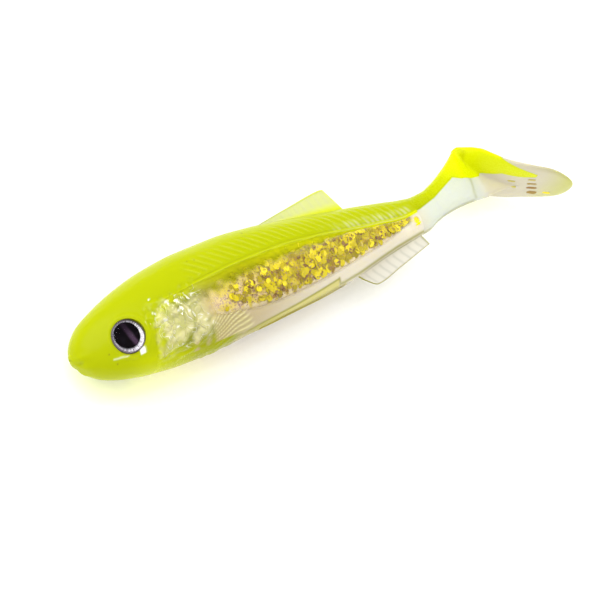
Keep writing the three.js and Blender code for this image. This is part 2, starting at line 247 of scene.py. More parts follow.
def table_at(table, x, column=1):
    """Value of one column of a station table at x, on a smooth curve without overshoot."""
    rows = np.asarray(table, float)
    xs, ys = rows[:, 0], rows[:, column]
    slope = np.diff(ys) / np.diff(xs)
    before, after = slope[:-1], slope[1:]
    same = before * after > 0
    middle = np.where(same, 2 * before * after / np.where(same, before + after, 1), 0)
    tangent = np.concatenate([slope[:1], middle, slope[-1:]])
    at = np.clip(x, xs[0], xs[-1])
    i = np.clip(np.searchsorted(xs, at) - 1, 0, len(xs) - 2)
    width = xs[i + 1] - xs[i]
    t = (at - xs[i]) / width
    ease = t * t * (3 - 2 * t)
    pull = t * (1 - t) ** 2 * width * tangent[i] + t * t * (t - 1) * width * tangent[i + 1]
    return ys[i] * (1 - ease) + ys[i + 1] * ease + pull


def fade(value, start, end):
    """0 before start, 1 after end, smooth between; start may be the larger one."""
    t = np.clip((value - start) / (end - start), 0, 1)
    return t * t * (3 - 2 * t)


def bump(distance, width):
    """1 where distance is 0, falling off as a bell of that width."""
    return np.exp(-((distance / width) ** 2))


def ripple(points, wavelength, seed, waves=9):
    """Smooth random field of about -1 to 1 over 2-D or 3-D points."""
    random = np.random.default_rng(seed)
    total = 0.0
    for _ in range(waves):
        direction = random.normal(size=len(points))
        direction *= 2 * math.pi / wavelength / np.linalg.norm(direction)
        direction *= random.uniform(0.6, 1.5)
        total = total + np.sin(sum(d * p for d, p in zip(direction, points)) + random.uniform(0, 6.3))
    return total / math.sqrt(waves)


def to_segment(x, y, start, end):
    """Distance from points to a segment, and how far along it the nearest point lies."""
    ax, ay = start
    dx, dy = end[0] - ax, end[1] - ay
    t = np.clip(((x - ax) * dx + (y - ay) * dy) / (dx * dx + dy * dy), 0, 1)
    return np.hypot(x - ax - t * dx, y - ay - t * dy), t


def to_line(x, y, points):
    """Distance from points to an open polyline."""
    return np.min([to_segment(x, y, a, b)[0] for a, b in zip(points, points[1:])], axis=0)


def lateral_line(x):
    return table_at(SEAM, x)


def over_seam(x, y):
    """Signed distance from the seam, positive on the back."""
    return to_line(x, y, SEAM) * np.sign(y - np.interp(x, *np.transpose(SEAM)) + 1e-9)


def inside_outline(x, y, outline):
    """Signed distance to a closed outline, positive inside."""
    closed = [*outline, outline[0]]
    crossings = np.zeros(np.shape(x), int)
    for (ax, ay), (bx, by) in zip(closed, closed[1:]):
        if ay == by:
            continue
        hit = (ay > y) != (by > y)
        crossings += hit & (x < ax + (y - ay) / (by - ay) * (bx - ax))
    return to_line(x, y, closed) * np.where(crossings % 2, 1, -1)


# ---- skins and solids


def section(count, squareness=SQUARENESS):
    """Rounded unit section as (across, up) arrays."""
    angle = np.linspace(0, 2 * math.pi, count, endpoint=False)
    bend = lambda v: np.sign(v) * np.abs(v) ** (2 / squareness)
    return bend(np.cos(angle)), bend(np.sin(angle))


def body_rings(xs, count, inset=0.0):
    """Rings of the body's skin at each x, as an array of (ring, point, xyz)."""
    across, up = section(count)
    top = table_at(BODY, xs, 1)[:, None] - inset
    low = table_at(BODY, xs, 2)[:, None] + inset
    half_width = table_at(BODY, xs, 3)[:, None] - inset
    x = np.repeat(np.asarray(xs, float)[:, None], count, 1)
    return np.stack([x, (top + low) / 2 + up * (top - low) / 2, across * half_width], -1)


def ring_normals(rings):
    """Outward normals of a tube of rings."""
    along = np.gradient(rings, axis=0)
    around = np.roll(rings, -1, 1) - np.roll(rings, 1, 1)
    normal = np.cross(around, along)
    length = np.linalg.norm(normal, axis=-1, keepdims=True)
    normal = normal / np.maximum(length, 1e-9)
    outward = rings - rings.mean(axis=1, keepdims=True)
    sign = np.sign((normal * outward).sum(-1).sum(-1))[:, None, None]
    return normal * sign


def mesh_object(name, vertices, faces, materials, face_material=None):
    mesh = bpy.data.meshes.new(name)
    mesh.from_pydata(np.asarray(vertices, float).tolist(), [], [list(f) for f in faces])
    for material in materials:
        mesh.materials.append(material)
    if face_material is not None:
        mesh.polygons.foreach_set("material_index", np.asarray(face_material, np.int32))
    mesh.validate()
    obj = bpy.data.objects.new(name, mesh)
    bpy.context.scene.collection.objects.link(obj)
    return obj


def loft(name, rings, materials, end_material=0):
    """A closed tube over rings, with a fan on each end."""
    count_rings, count = rings.shape[:2]
    index = np.arange(count_rings * count).reshape(count_rings, count)
    following = np.roll(index, -1, 1)
    sides = np.stack([index[:-1], index[1:], following[1:], following[:-1]], -1).reshape(-1, 4)
    first, last = count_rings * count, count_rings * count + 1
    ends = [[first, a, b] for a, b in zip(index[0], following[0])]
    ends += [[last, b, a] for a, b in zip(index[-1], following[-1])]
    vertices = np.concatenate([rings.reshape(-1, 3), rings[:1].mean(1), rings[-1:].mean(1)])
    slots = [0] * len(sides) + [end_material] * len(ends)
    return face_out(mesh_object(name, vertices, sides.tolist() + ends, materials, slots))


def face_out(obj, triangulate=False):
    """Turns all faces outwards."""
    bm = bmesh.new()
    bm.from_mesh(obj.data)
    if triangulate:
        bmesh.ops.triangulate(bm, faces=bm.faces)
    bmesh.ops.recalc_face_normals(bm, faces=bm.faces)
    if bm.calc_volume(signed=True) < 0:
        bmesh.ops.reverse_faces(bm, faces=bm.faces)
    bm.to_mesh(obj.data)
    bm.free()
    return obj


def prism(name, outline, low, high, materials, slot, axis="z"):
    """A block from an outline: in x and y between two z, or in x and z between two y."""
    n = len(outline)
    place = (lambda a, b, h: (a, b, h)) if axis == "z" else (lambda a, b, h: (a, h, b))
    vertices = [place(a, b, h) for h in (low, high) for a, b in outline]
    faces = [list(range(n)), list(range(n, 2 * n))]
    faces += [[k, (k + 1) % n, n + (k + 1) % n, n + k] for k in range(n)]
    return face_out(mesh_object(name, vertices, faces, materials, [slot] * len(faces)), triangulate=True)


def block(name, x_start, x_end, materials, slot):
    outline = [[x_start, -FAR], [x_end, -FAR], [x_end, FAR], [x_start, FAR]]
    return prism(name, outline, -FAR, FAR, materials, slot)


def apply_modifiers(obj):
    graph = bpy.context.evaluated_depsgraph_get()
    mesh = bpy.data.meshes.new_from_object(obj.evaluated_get(graph))
    obj.modifiers.clear()
    old = obj.data
    obj.data = mesh
    bpy.data.meshes.remove(old)


def carve(obj, cutter, operation="DIFFERENCE"):
    """Cuts obj with cutter, or joins them; the cut faces keep the cutter's material slot."""
    modifier = obj.modifiers.new("carve", "BOOLEAN")
    modifier.operation = operation
    modifier.solver = "MANIFOLD"
    modifier.object = cutter
    apply_modifiers(obj)
    return obj


def copied(obj, name):
    other = obj.copy()
    other.data = obj.data.copy()
    other.name = name
    bpy.context.scene.collection.objects.link(other)
    return other


def discard(*objects):
    for obj in objects:
        bpy.data.objects.remove(obj)


def coordinates(obj):
    co = np.empty(len(obj.data.vertices) * 3, np.float32)
    obj.data.vertices.foreach_get("co", co)
    return co.reshape(-1, 3).astype(float)


def store(obj, **masks):
    """Keeps one number or one vector per vertex, under each name, for the materials to read."""
    for name, values in masks.items():
        values = np.asarray(values, np.float32)
        kind, field = ("FLOAT_VECTOR", "vector") if values.ndim == 2 else ("FLOAT", "value")
        attribute = obj.data.attributes.new(name, kind, "POINT")
        attribute.data.foreach_set(field, values.ravel())


def finish_mesh(obj, sharp=40):
    """Stores the rest position for the patterns and moves the mesh into the CAD's frame."""
    if "rest" not in obj.data.attributes:
        store(obj, rest=coordinates(obj))
    obj.data.shade_smooth()
    obj.data.set_sharp_from_angle(angle=math.radians(sharp))
    obj.data.transform(TO_CAD)
    return obj


# ---- materials


class Tree:
    """Short names for building one material's nodes."""

    def __init__(self, name):
        self.material = bpy.data.materials.new(name)
        self.material.use_nodes = True
        self.nodes = self.material.node_tree.nodes
        self.links = self.material.node_tree.links
        self.nodes.clear()

    def add(self, kind, inputs=None, output=0, **settings):
        """Adds a node; an input is a constant or another node's output socket."""
        node = self.nodes.new("ShaderNode" + kind)
        for key, value in settings.items():
            setattr(node, key, value)
        for key, value in (inputs or {}).items():
            socket = node.inputs[key]
            if isinstance(value, bpy.types.NodeSocket):
                self.links.new(value, socket)
            elif isinstance(value, tuple) and len(value) == 3 and socket.type == "RGBA":
                socket.default_value = (*value, 1)
            else:
                socket.default_value = value
        return node.outputs[output]

    def stored(self, name, vector=False):
        return self.add("Attribute", attribute_name=name, output=1 if vector else 2)

    def rest(self):
        """The rest position as a vector, and its x and y."""
        vector = self.stored("rest", vector=True)
        x, y, _ = self.add("SeparateXYZ", {0: vector}).node.outputs
        return vector, x, y

    def noise(self, vector, scale, detail=2.0, roughness=0.5, distortion=0.0):
        inputs = {"Vector": vector, "Scale": scale, "Detail": detail, "Roughness": roughness,
                  "Distortion": distortion}
        return self.add("TexNoise", inputs)

    def ramp(self, value, start, end, low=0.0, high=1.0):
        inputs = {"Value": value, "From Min": start, "From Max": end, "To Min": low, "To Max": high}
        return self.add("MapRange", inputs, interpolation_type="SMOOTHSTEP")

    def maths(self, operation, a, b=0.0, c=0.0):
        return self.add("Math", {0: a, 1: b, 2: c}, operation=operation)

    def times(self, a, b):
        return self.maths("MULTIPLY", a, b)

    def off(self, value, centre):
        """How far a value is from a centre."""
        return self.maths("ABSOLUTE", self.maths("SUBTRACT", value, centre))

    def colour(self, factor, a, b):
        return self.add("Mix", {0: factor, 6: a, 7: b}, 2, data_type="RGBA")

    def value(self, factor, a, b):
        return self.add("Mix", {0: factor, 2: a, 3: b})

    def bump(self, height, distance, strength=1.0, normal=None):
        inputs = {"Height": height, "Distance": distance, "Strength": strength}
        if normal is not None:
            inputs["Normal"] = normal
        return self.add("Bump", inputs)

    def transparent(self, colour=(1.0, 1.0, 1.0)):
        return self.add("BsdfTransparent", {"Color": colour})

    def out(self, shader):
        node = self.nodes.new("ShaderNodeOutputMaterial")
        self.links.new(shader, node.inputs["Surface"])
        return self.material

    def out_lit(self, skin, tint, share):
        """Ends a see-through material: that share of a shadow ray goes on as tinted light."""
        through = self.times(self.add("LightPath", output=1), share)
        return self.out(self.add("MixShader", {0: through, 1: skin, 2: self.transparent(tint)}))


def inner_material():
    """Where two pours meet there is no surface to see."""
    tree = Tree("joined pour")
    return tree.out(tree.transparent())


def chartreuse_tone(tree, rest, x, fine):
    """Yellow-green: deeper in the thick middle, with painted light making it brighter towards the tail and
    painted shade making it olive in the grooves.
    """
    relief = tree.stored("relief")
    thick = tree.times(tree.ramp(x, 12, 24), tree.ramp(x, 74, 56))
    uneven = tree.ramp(tree.noise(rest, 0.35, 3.0), 0.3, 0.7, -0.15, 0.15)
    tone = tree.colour(tree.maths("ADD", thick, uneven), CHARTREUSE, CHARTREUSE_DEEP)
    # Painted light: brighter towards the tail and the heel, plus the stored amount, which is painted shade
    # where it is negative.
    bright = tree.maths("ADD", tree.ramp(x, 60, 80), tree.stored("lift"))
    tone = tree.colour(bright, tone, CHARTREUSE_BRIGHT)
    # Painted shade: olive where the relief sinks into grooves.
    groove = tree.times(tree.ramp(relief, -0.1, -0.02, 0.4, 0.0), tree.ramp(fine, 0.35, 0.6))
    tone = tree.colour(groove, tone, OLIVE)
    rib = tree.ramp(relief, 0.03, 0.16, 0.0, tree.ramp(x, 44, 60, 0.5, 0.9))
    tone = tree.colour(rib, tone, tree.colour(tree.ramp(x, 54, 70), CHARTREUSE_PALE, FROST))
    return tree.colour(tree.stored("olive"), tone, OLIVE)


def clear_tone(tree, x, fine, gloss, swirl):
    """The clear pour's tint along the lure, then the cheek, pectoral rays, keel strip and edges."""
    # Painted shade along the cheek's swirled folds.
    cheek_fold = tree.ramp(tree.off(swirl, 0.56), 0.03, 0.0, 0.0, 0.45)
    tone = tree.colour(tree.ramp(fine, 0.4, 0.75, 0.0, 0.6), CLEAR, MILK)
    layers = (
        (tree.ramp(x, 58, 24, 0.0, 0.85), WARM),
        (tree.ramp(x, 78, 84), STEM),
        (tree.ramp(x, 97, 101), BLADE),
        (tree.ramp(x, 110, 119), TOE),
        (gloss, tree.colour(cheek_fold, CHEEK, CHEEK_SHADE)),
        (tree.stored("ray"), RAY),
        (tree.stored("strip"), STRIP),
        (tree.stored("edge"), OLIVE),
    )
    for share, layer in layers:
        tone = tree.colour(share, tone, layer)
    return tone


def pour_material(name):
    """Soft plastisol: chartreuse where the stored pour is 1 and clear where it is 0."""
    tree = Tree(name)
    rest, x, _ = tree.rest()
    fine = tree.noise(rest, 3.2, 2.0)
    swirl = tree.noise(rest, 0.42, 1.5, 0.45, 1.3)
    pour, milk, gloss = (tree.stored(mask) for mask in ("pour", "milk", "gloss"))
    yellow = tree.value(gloss, tree.ramp(pour, 0.0, 0.45), pour)
    clear, chartreuse = clear_tone(tree, x, fine, gloss, swirl), chartreuse_tone(tree, rest, x, fine)
    colour = tree.colour(yellow, clear, chartreuse)

    # Painted highlights: white lines on the cheek's swirled folds, joined with the stored painted highlights
    # and frosted ribs.
    patch = tree.ramp(tree.noise(rest, 0.7, 2.0), 0.42, 0.58)
    fold = tree.times(tree.ramp(tree.off(swirl, 0.5), 0.02, 0.0), patch)
    glint = tree.maths("MAXIMUM", tree.times(fold, tree.times(gloss, 0.75)), tree.stored("glint"))
    glass = tree.value(pour, tree.ramp(milk, 0.0, 1.0, 0.5, 0.1), 0.03)
    rough = tree.value(pour, tree.ramp(milk, 0.0, 0.5, 0.05, 0.14), 0.26)
    rough = tree.maths("ADD", rough, tree.ramp(fine, 0.3, 0.7, -0.03, 0.05))
    normal = tree.bump(tree.noise(rest, 1.1, 4.0, 0.6), 0.0001)
    normal = tree.bump(tree.times(tree.maths("SUBTRACT", swirl, 0.5), gloss), 0.002, 0.8, normal)
    skin = tree.add("BsdfPrincipled", {
        "Base Color": tree.colour(glint, colour, PAINTED_GLINT_AND_FROST_WHITE), "Roughness": tree.value(gloss, rough, 0.07),
        "IOR": 1.2, "Specular IOR Level": 0.3, "Transmission Weight": tree.value(gloss, glass, 0.06),
        "Subsurface Weight": 0.6, "Subsurface Radius": (1.0, 1.0, 0.3), "Subsurface Scale": 0.0007,
        "Coat Weight": tree.value(gloss, 0.06, 0.9), "Coat Roughness": 0.08, "Normal": normal,
    })
    skin = tree.add("MixShader", {0: tree.stored("window"), 1: skin, 2: tree.transparent()})
    tint = tree.colour(tree.ramp(x, 50, 84), LIGHT_WARM, LIGHT_PALE)
    return tree.out_lit(skin, tree.colour(pour, tint, LIGHT_GREEN), 0.92)


def haze_material():
    """Cloudy core: chartreuse above, then olive, and beige with mauve speckle at the gills."""
    tree = Tree("flake core haze")
    rest = tree.stored("rest", vector=True)
    cloud = tree.noise(rest, 0.45, 3.0, 0.6, 0.4)
    grain = tree.noise(rest, 2.6, 3.0, 0.65)
    rear, lower = tree.stored("rear"), tree.stored("lower")
    front_tone = tree.colour(tree.ramp(cloud, 0.35, 0.6), HAZE_BEIGE, HAZE_YELLOW)
    rear_tone = tree.colour(tree.ramp(cloud, 0.42, 0.6), HAZE_OLIVE, HAZE_BROWN)
    speckle = tree.times(tree.ramp(grain, 0.49, 0.55), tree.ramp(cloud, 0.62, 0.42, 0.35, 1.0))
    speckle = tree.times(speckle, tree.value(rear, 0.85, tree.ramp(lower, 0.3, 1.0, 0.0, 0.3)))
    tone = tree.colour(speckle, tree.colour(rear, front_tone, rear_tone), HAZE_MAUVE)
    tone = tree.colour(tree.stored("veil"), tone, HAZE_GREEN)
    tone = tree.colour(tree.stored("outside"), tone, HAZE_EDGE)
    body = tree.add("BsdfPrincipled", {
        "Base Color": tone, "Roughness": tree.ramp(grain, 0.3, 0.7, 0.35, 0.6), "IOR": 1.3,
        "Specular IOR Level": 0.1,
    })
    return tree.out(tree.add("MixShader", {0: tree.stored("dense"), 1: tree.transparent(), 2: body}))


def flake_material(name, light, dark, metallic, roughness):
    """Glitter: each platelet has its own tone, stored from 0 to 1."""
    tree = Tree(name)
    stain = tree.noise(tree.stored("rest", vector=True), 2.5, 2.0)
    colour = tree.colour(tree.stored("tone"), dark, light)
    colour = tree.colour(tree.stored("veil"), colour, HAZE_GREEN)
    return tree.out(tree.add("BsdfPrincipled", {
        "Base Color": tree.colour(tree.ramp(stain, 0.4, 0.8, 0.0, 0.35), colour, dark), "Metallic": metallic,
        "Roughness": tree.ramp(stain, 0.3, 0.7, roughness - 0.08, roughness + 0.1),
        "Specular IOR Level": 0.2,
    }))


def fin_material(name, membrane, ray, edge):
    """Thin web: nearly clear between the rays, more coloured at its foot and its outline."""
    tree = Tree(name)
    thick = tree.stored("thick")
    cloud = tree.noise(tree.stored("rest", vector=True), 0.8, 3.0)
    colour = tree.colour(thick, tree.colour(tree.stored("ray"), membrane, ray), edge)
    skin = tree.add("BsdfPrincipled", {
        "Base Color": colour, "Roughness": tree.ramp(cloud, 0.3, 0.7, 0.14, 0.26), "IOR": 1.2,
        "Transmission Weight": tree.value(thick, 0.35, 0.1), "Coat Weight": 0.2,
        "Coat Roughness": 0.1, "Normal": tree.bump(cloud, 0.00006),
    })
    return tree.out_lit(skin, tree.colour(thick, (0.95, 0.96, 0.88), (0.8, 0.9, 0.2)), 0.85)


def foil_material():
    """Brushed foil: fine streaks run out from the middle, darker at the rim, with painted shade up to the
    left.
    """
    tree = Tree("eye foil")
    place, x, y = tree.rest()
    radius = tree.add("VectorMath", {0: place}, 1, operation="LENGTH")
    angle = tree.maths("ARCTAN2", y, x)
    turn = tree.add("CombineXYZ", {0: tree.times(angle, 9.0), 1: tree.times(radius, 0.7)})
    streak = tree.noise(turn, 1.4, 4.0, 0.75)
    # Painted shade over the upper left of the ring.
    lower = tree.maths("MULTIPLY_ADD", x, 0.62, tree.times(y, -0.78))
    colour = tree.colour(tree.ramp(streak, 0.36, 0.55), (0.34, 0.27, 0.34), (0.90, 0.88, 0.92))
    shaded = tree.colour(0.18, colour, (0.22, 0.15, 0.22))
    colour = tree.colour(tree.ramp(lower, -2.2, 0.6), shaded, colour)
    colour = tree.colour(tree.ramp(radius, 2.92, 3.04, 0.0, 0.85), colour, (0.10, 0.06, 0.10))
    return tree.out(tree.add("BsdfPrincipled", {
        "Base Color": colour, "Metallic": 0.35, "Roughness": tree.ramp(streak, 0.3, 0.7, 0.22, 0.45),
        "Normal": tree.bump(streak, 0.00008),
    }))


def pupil_material():
    """Violet-black printed film with a painted soft sheen band across it."""
    tree = Tree("eye pupil")
    place, x, y = tree.rest()
    across = tree.maths("MULTIPLY_ADD", x, 0.98, tree.times(y, 0.18))
    along = tree.maths("MULTIPLY_ADD", x, 0.18, tree.times(y, -0.98))
    # Painted sheen: a soft band across the pupil, brighter downward.
    band = tree.ramp(tree.off(across, 0.35), 0.75, 0.15)
    band = tree.times(band, tree.ramp(along, -2.0, 1.2, 0.25, 1.0))
    grain = tree.noise(place, 4.0, 3.0)
    painted_sheen = tree.times(band, tree.ramp(grain, 0.2, 0.8, 0.6, 1.0))
    return tree.out(tree.add("BsdfPrincipled", {
        "Base Color": tree.colour(painted_sheen, (0.002, 0.0005, 0.002), (0.10, 0.055, 0.10)),
        "Roughness": tree.ramp(grain, 0.3, 0.7, 0.4, 0.55), "Specular IOR Level": 0.04,
    }))


def dome_material():
    """Clear resin lens over the eye."""
    tree = Tree("eye dome")
    smear = tree.noise(tree.stored("rest", vector=True), 1.2, 2.0)
    skin = tree.add("BsdfPrincipled", {
        "Base Color": (0.98, 0.98, 1.0), "Roughness": tree.ramp(smear, 0.35, 0.7, 0.02, 0.06),
        "IOR": 1.06, "Transmission Weight": 1.0,
    })
    return tree.out_lit(skin, (0.98, 0.98, 0.98), 1.0)


def floor_material():
    """Matt white paper."""
    tree = Tree("paper")
    grain = tree.noise(tree.add("TexCoord", output=3), 900.0, 3.0)
    colour = tree.colour(tree.ramp(grain, 0.3, 0.7), (0.93, 0.93, 0.93), (0.95, 0.95, 0.95))
    return tree.out(tree.add("BsdfPrincipled", {
        "Base Color": colour, "Roughness": 0.9, "Specular IOR Level": 0.1,
    }))


# ---- relief of the skin

CHEVRON_PITCH = 1.75
OPERCULUM = (17.5, -3.6, 8.8, 5.2)  # centre and radii of the gill cover
PREOPERCLE = (15.5, -3.0, 6.2, 5.0)
# Painted highlights on the wet cheek folds.
PAINTED_GLINTS = [  # x, y and radius
    (21.1, -2.4, 0.4), (17.8, -4.1, 0.35), (17.9, 0.6, 0.45), (19.9, 0.0, 0.5), (14.9, -0.3, 0.4),
    (15.6, 2.4, 0.25), (16.2, -2.2, 0.5), (19.2, -1.6, 0.4),
]
SPECKS = [(26.5, 6.1), (27.7, 5.8), (4.7, -3.2), (5.6, -5.2), (40.5, 7.2)]
PECTORAL_ROOT = (18.6, -10.3)
PECTORAL_RAYS = 11
PECTORAL_LENGTH = [[2, 6, 12, 20, 30, 38], [15.0, 15.2, 14.6, 13.6, 12.4, 10.5]]  # at each angle
MOUTH = (0.0, -2.1), (7.2, -4.4)
JAW = (6.3, -4.4), (9.0, -5.6)
THROAT_FOLDS = 3
EYELID_RADIUS = 3.6
# Painted highlights: a line along the mouth and a square beside the eye.
PAINTED_MOUTH_GLINT = (5.2, -4.3), (7.6, -4.9)
PAINTED_EYE_GLINT = (10.4, -5.1)
KEEL_ROOF = [[28, 36, 45, 50, 57.5], [-9.6, -9.2, -8.75, -8.35, -7.6]]  # x, then y of its upper border
KEEL_END = 55.3
STEM_CREASE = [(97.0, -0.4), (96.6, -1.7), (96.1, -2.9), (96.3, -3.9)]


def in_ellipse(x, y, ellipse):
    """Scaled distance from an ellipse's centre: 1 on its line."""
    cx, cy, rx, ry = ellipse
    return np.hypot((x - cx) / rx, (y - cy) / ry)


def flank_relief(x, y):
    """Lateral line and the muscle ribs over it."""
    over = y - lateral_line(x)
    top = table_at(BODY, x, 1) - lateral_line(x)
    along = fade(x, 21.5, 26) * fade(x, 79, 75)
    height = along * (0.16 * bump(over, 0.22) - 0.10 * bump(over - 0.5, 0.22))
    lean = 0.95 - 0.3 * fade(x, 55, 68)
    wave = 0.5 + 0.5 * np.cos(2 * math.pi * (x + lean * over) / CHEVRON_PITCH)
    reach = over / top
    shown = fade(x, 23, 26) * fade(x, 79, 74) * fade(over, 0.8, 1.3)
    shown = shown * fade(reach, 0.92 - 0.25 * fade(x, 60, 40), 0.5)
    return height + 0.17 * shown * wave ** 3


def on_cheek(x, y):
    """1 on the folded translucent cheek between eye and shoulder."""
    ragged = 0.9 * ripple((x, y), 2.4, SEED + 6)
    return fade(x + ragged, 12.4, 15.4) * fade(x, 27, 23) * fade(y + ragged, 2.4, 0.2) * fade(y, -8.5, -7)


def head_relief(x, y, noise):
    """Mouth, jaw, gill cover, throat folds and cheek."""
    mouth, along = to_segment(x, y, *MOUTH)
    height = -0.6 * fade(along, 0.14, 0.0) * bump(mouth, 0.3)
    height += 0.22 * bump(mouth - 1.0, 0.6) * fade(x, 2.6, 0.6)
    jaw, _ = to_segment(x, y, *JAW)
    height += 0.2 * bump(jaw, 0.3)
    cover = in_ellipse(x, y, OPERCULUM)
    behind = fade(x, 15, 19)
    height += behind * 0.34 * fade(cover, 1.03, 0.95)
    height += behind * 0.14 * bump(cover - 0.93, 0.035)
    plate = in_ellipse(x, y, PREOPERCLE)
    height += fade(x, 13.5, 16.5) * (0.2 * fade(plate, 1.05, 0.93) + 0.12 * bump(plate - 0.9, 0.05))
    spokes = np.cos(13 * np.arctan2(y + 2.2, x - 17.0) + 0.8 * noise)
    height += 0.07 * spokes * behind * fade(plate, 0.98, 1.08) * fade(cover, 0.97, 0.9)
    height += on_cheek(x, y) * (0.3 * np.abs(noise) - 0.1)
    for step in range(THROAT_FOLDS):
        fold, _ = to_segment(x, y, (12.5, -8.0 + 0.5 * step), (23.0, -9.2 + 0.7 * step))
        height -= 0.1 * bump(fold, 0.16) * fade(x, 12, 14)
    lid = np.hypot(x - EYE_X, y - EYE_Y) - EYELID_RADIUS
    return height + 0.12 * bump(lid, 0.3)


def pectoral_fan(x, y):
    """The folded fin behind the gills: 1 inside its outline, and 1 along its rays."""
    dx, dy = x - PECTORAL_ROOT[0], y - PECTORAL_ROOT[1]
    reach, angle = np.hypot(dx, dy), np.degrees(np.arctan2(dy, dx))
    length = np.interp(angle, *PECTORAL_LENGTH)
    inside = fade(angle, 2, 5) * fade(angle, 38, 33) * fade(reach, 2, 6)
    inside = inside * fade(reach - length, 0.6, -0.8)
    rays = 0.5 + 0.5 * np.cos(2 * math.pi * PECTORAL_RAYS * (angle + 0.5 * np.sin(reach)) / 36)
    return inside, rays ** 2 * fade(reach, 3, 6)


def skin_relief(rings):
    """How far each point of the skin stands out."""
    x, y, z = rings[..., 0], rings[..., 1], rings[..., 2]
    side = np.sign(z)
    noise = ripple((x, 1.3 * y, 2.0 * side), 1.9, SEED)
    wobble = ripple((x, y, z), 9.0, SEED + 1)
    fan, rays = pectoral_fan(x, y)
    height = flank_relief(x, y) + head_relief(x, y, noise) + fan * (0.05 + 0.17 * rays)
    edge = fade(np.abs(z), 0.3, 1.2)
    height = height * edge + 0.05 * wobble * fade(x, 0.5, 4) * fade(x, 79.5, 74)
    return RELIEF_LIMIT * np.tanh(height / RELIEF_LIMIT)


# ---- body

BACK_FACE, CLEAR_FACE, JOINED_FACE = range(3)  # the pours' material slots


def skin_rings():
    """The displaced skin from the nose dome to the end of the body."""
    xs = np.concatenate([np.arange(0, 6, 0.1), np.arange(6, STEM_FLEX[0] + 0.01, 0.25)])
    rings = body_rings(xs, RING_POINTS)
    rings = rings + ring_normals(rings) * skin_relief(rings)[..., None]
    dome = []
    for share in (0.15, 0.35, 0.55, 0.75, 0.9):
        ring = rings[0].copy()
        ring[:, 0] = -NOSE_DOME * math.sqrt(1 - share * share)
        ring[:, 1:] = rings[0].mean(0)[1:] + (rings[0][:, 1:] - rings[0].mean(0)[1:]) * share
        dome.append(ring)
    return np.concatenate([np.array(dome), rings])


def seam_outline():
    """The seam as a fine outline of everything above it."""
    head = np.arange(SEAM[0][0], 16, 0.1)
    flank = np.arange(16, SEAM[-2][0], 0.4)
    line = [[x, lateral_line(x)] for x in (*head, *flank)]
    low = SEAM[-1][1]
    return [*line, SEAM[-2], SEAM[-1], [TAIL_END, low], [TAIL_END, FAR], [-10, FAR], [-10, low]]


def pour_on_body(x, y, z):
    """1 on the chartreuse back and head, 0 on the clear belly."""
    across = over_seam(x, y)
    cloud = ripple((x, y, 2 * np.sign(z)), 4.0, SEED + 2)
    wisp = ripple((x, 1.4 * y, 2 * np.sign(z)), 1.8, SEED + 4)
    below = lateral_line(x) - y
    flank = np.maximum(fade(below, 0.7, 0.1), 0.62 * veil(x, y))
    gill = fade(x, 22.5, 27)
    cover, plate = in_ellipse(x, y, OPERCULUM), in_ellipse(x, y, PREOPERCLE)
    cheek = 0.28 + 0.15 * cloud + 0.25 * wisp + 0.6 * fade(y, -2.0, 0.8) + 0.35 * fade(y, -6.0, -7.6)
    cheek = cheek + 0.4 * bump(plate - 0.99, 0.05) + 0.35 * bump(cover - 0.99, 0.035)
    cheek = cheek - 0.2 * fade(x, 19, 22) * fade(y, 0, -3)
    head = np.maximum(fade(across + 1.1 * wisp + 0.5 * cloud, -3.2, 0.6), np.clip(cheek, 0.05, 0.95))
    pour = head * (1 - gill) + flank * gill
    keel = y - table_at(BODY, x, 2)
    under = 0.8 * fade(keel, 2.4 - 1.6 * fade(x, 14, 20), 0.4) * fade(x, 33, 25)
    return np.clip(np.maximum(pour, under), 0, 1)


def milk_on_body(x, y):
    """How cloudy the clear pour is: a little less over the flakes."""
    over = y - table_at(FLAKE_EDGE, x)
    return 0.6 + 0.25 * fade(over, 0.3, -0.8)


def window_on_body(x, y, pour):
    """How open the skin is over the flakes."""
    over = y - table_at(FLAKE_EDGE, x)
    band = fade(over, -1.1, -0.2)
    fleck = 0.95 * fade(np.hypot(x - LONE_FLAKE[0], y - LONE_FLAKE[1]), 0.85, 0.6)
    return np.maximum(0.95 * band * fade(x, 22.0, 28) * fade(x, 78.5, 76.5), fleck) * (1 - pour)


def keel_strip(x, y):
    """Thin keel beside the hook slot: 1 inside, and 1 along its upper border and rear end."""
    over, past = y - np.interp(x, *KEEL_ROOF), x - KEEL_END
    inside = fade(over, 0.12, -0.12) * fade(x, 30, 36) * fade(past, 0.3, -0.1)
    border = bump(over, 0.15) * fade(x, 30, 34) * fade(past, 0.4, 0.0)
    end = bump(past + 0.5 * over, 0.22) * fade(over, 0.4, 0.1)
    return inside, np.maximum(border, end)


def edge_on_body(x, y):
    """Olive of the belly's edge, of the keel strip's border and between the pectoral rays."""
    keel = y - table_at(BODY, x, 2)
    _, border = keel_strip(x, y)
    rim = 0.55 * fade(keel, 0.5, 0.12) * fade(x, 24, 34) * fade(x, 60, 57)
    rim = np.maximum(rim, 0.75 * bump(keel - 0.35, 0.25) * fade(x, 55, 56))
    fan, rays = pectoral_fan(x, y)
    return np.clip(np.maximum(rim, 0.85 * border) + 0.2 * fan * (1 - rays), 0, 0.85)


